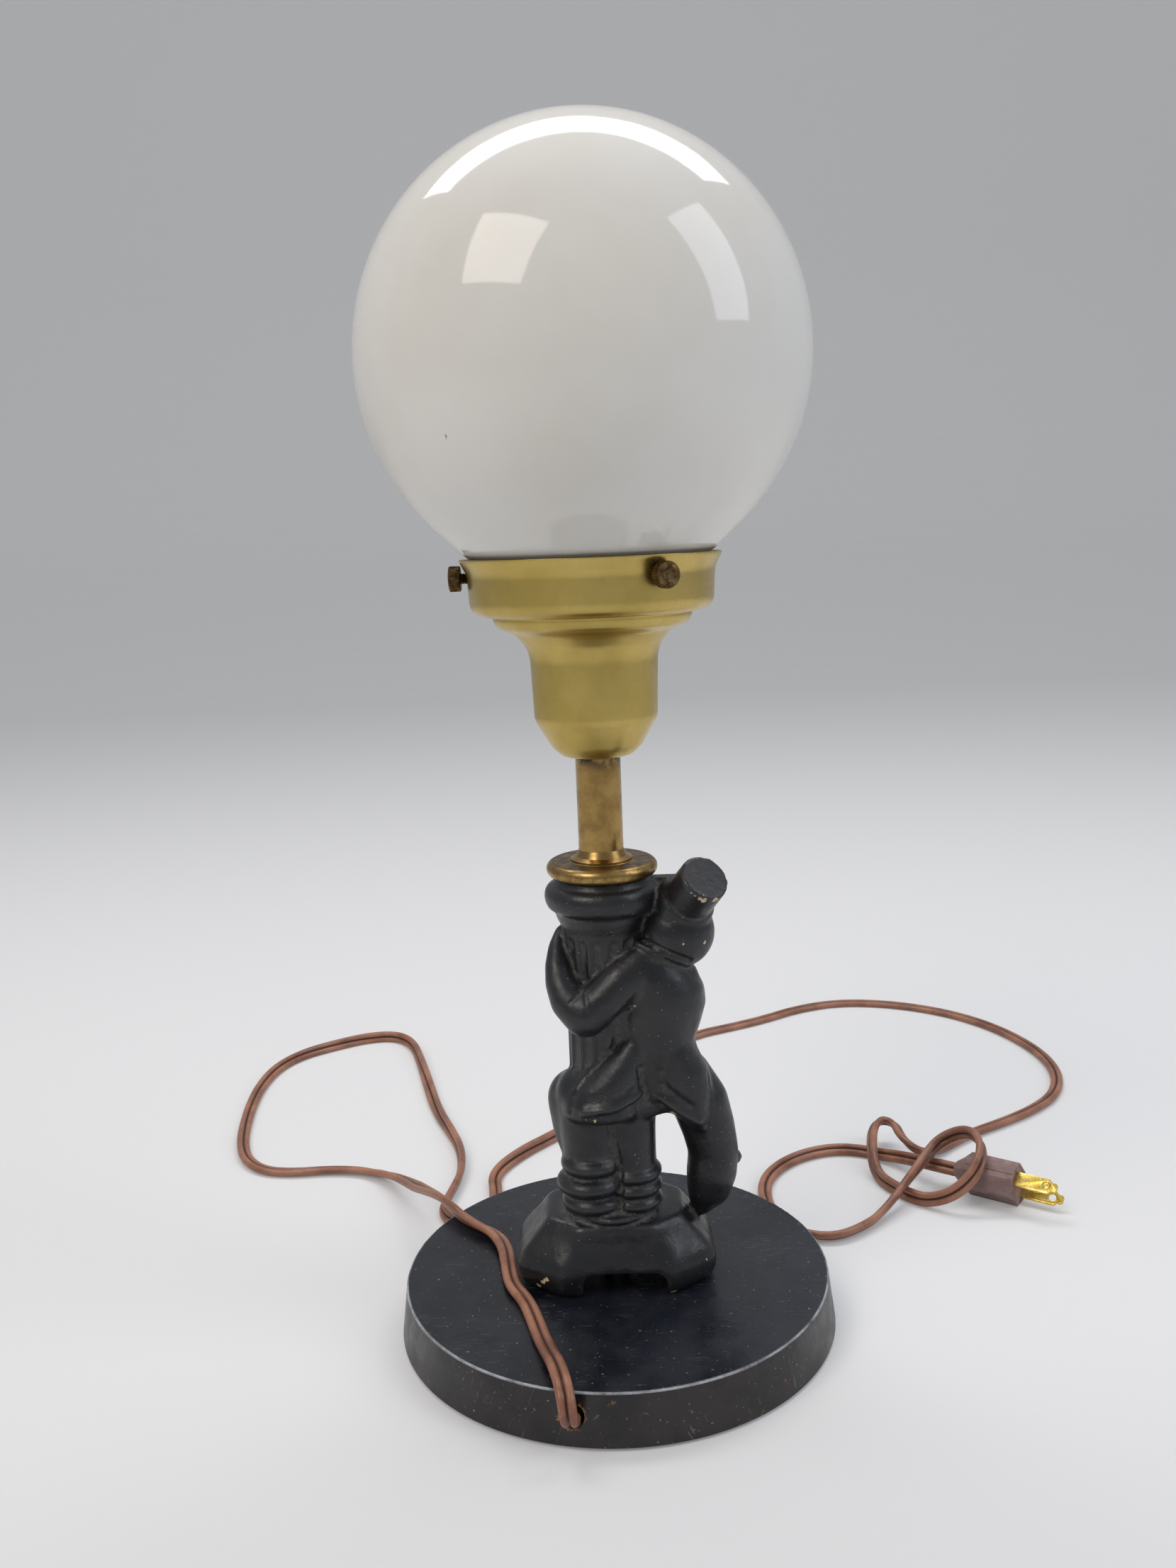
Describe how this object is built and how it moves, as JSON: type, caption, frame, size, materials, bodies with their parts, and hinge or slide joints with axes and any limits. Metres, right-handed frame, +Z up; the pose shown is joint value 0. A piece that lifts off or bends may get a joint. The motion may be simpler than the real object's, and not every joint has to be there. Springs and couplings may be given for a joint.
{
  "type": "table lamp",
  "caption": "Table lamp: opal ball shade in a brass holder on a tube above a black casting of a fluted column with a leaning figure, on a round base, with cord and plug.",
  "frame": {"origin": "centre of the base's underside, on the table", "axes": "+Z up along the lamp's axis, +X to the viewer's right, -Y towards the viewer of the picture"},
  "size_m": [0.4291, 0.4192, 0.4239],
  "materials": {
    "felt": "woven felt",
    "base_paint": "semi-gloss black paint, scuffed",
    "figure_glaze": "satin black paint on fired clay",
    "aged_brass": "aged, brushed",
    "tube_brass": "polished, speckled with age",
    "holder_lacquer": "satin gold lacquer",
    "screw_brass": "tarnished, knurled",
    "zinc_steel": "zinc plated",
    "opal_glass": "glossy opal white",
    "socket_brass": "plain brass shell",
    "fibre_liner": "pressed fibre sleeve",
    "phenolic": "moulded phenolic",
    "bulb_glass": "frosted inside",
    "bulb_cap_metal": "rolled thread",
    "solder": "dull solder",
    "cord_vinyl": "brown vinyl, satin",
    "plug_vinyl": "moulded mauve-brown vinyl",
    "blade_brass": "bright stamped brass"
  },
  "bodies": {
    "lamp": {"felt_pad": "felt", "base_disc": "base_paint", "figure_casting": "figure_glaze", "vase_cap": "aged_brass", "neck_tube": "tube_brass", "threaded_rod": "zinc_steel", "base_washer": "zinc_steel", "base_hex_nut": "zinc_steel", "globe_holder": "holder_lacquer", "lock_washer": "zinc_steel", "holder_locknut": "zinc_steel", "glass_globe": "opal_glass", "socket_cap": "socket_brass", "socket_shell": "socket_brass", "socket_liner": "fibre_liner", "socket_body": "phenolic", "socket_screw_shell": "socket_brass", "socket_centre_contact": "socket_brass", "terminal_screws": "blade_brass", "cord_inside": "cord_vinyl", "cord_free": "cord_vinyl", "plug_body": "plug_vinyl", "plug_blades": "blade_brass"},
    "thumb_screw_left": {"thumb_screw_left": "screw_brass"},
    "thumb_screw_front": {"thumb_screw_front": "screw_brass"},
    "thumb_screw_back": {"thumb_screw_back": "screw_brass"},
    "bulb": {"bulb_cap": "bulb_cap_metal", "bulb_contact": "solder", "bulb_glass": "bulb_glass"}
  },
  "joints": [
    {"name": "left_screw_travel", "type": "slide", "parent": "lamp", "child": "thumb_screw_left", "axis": [-1, 0, 0], "range_m": [0, 0.004]},
    {"name": "front_screw_travel", "type": "slide", "parent": "lamp", "child": "thumb_screw_front", "axis": [0.5, -0.866, 0], "range_m": [0, 0.004]},
    {"name": "back_screw_travel", "type": "slide", "parent": "lamp", "child": "thumb_screw_back", "axis": [0.5, 0.866, 0], "range_m": [0, 0.004]},
    {"name": "bulb_travel", "type": "slide", "parent": "lamp", "child": "bulb", "axis": [0, 0, 1], "range_m": [0, 0.025]}
  ]
}
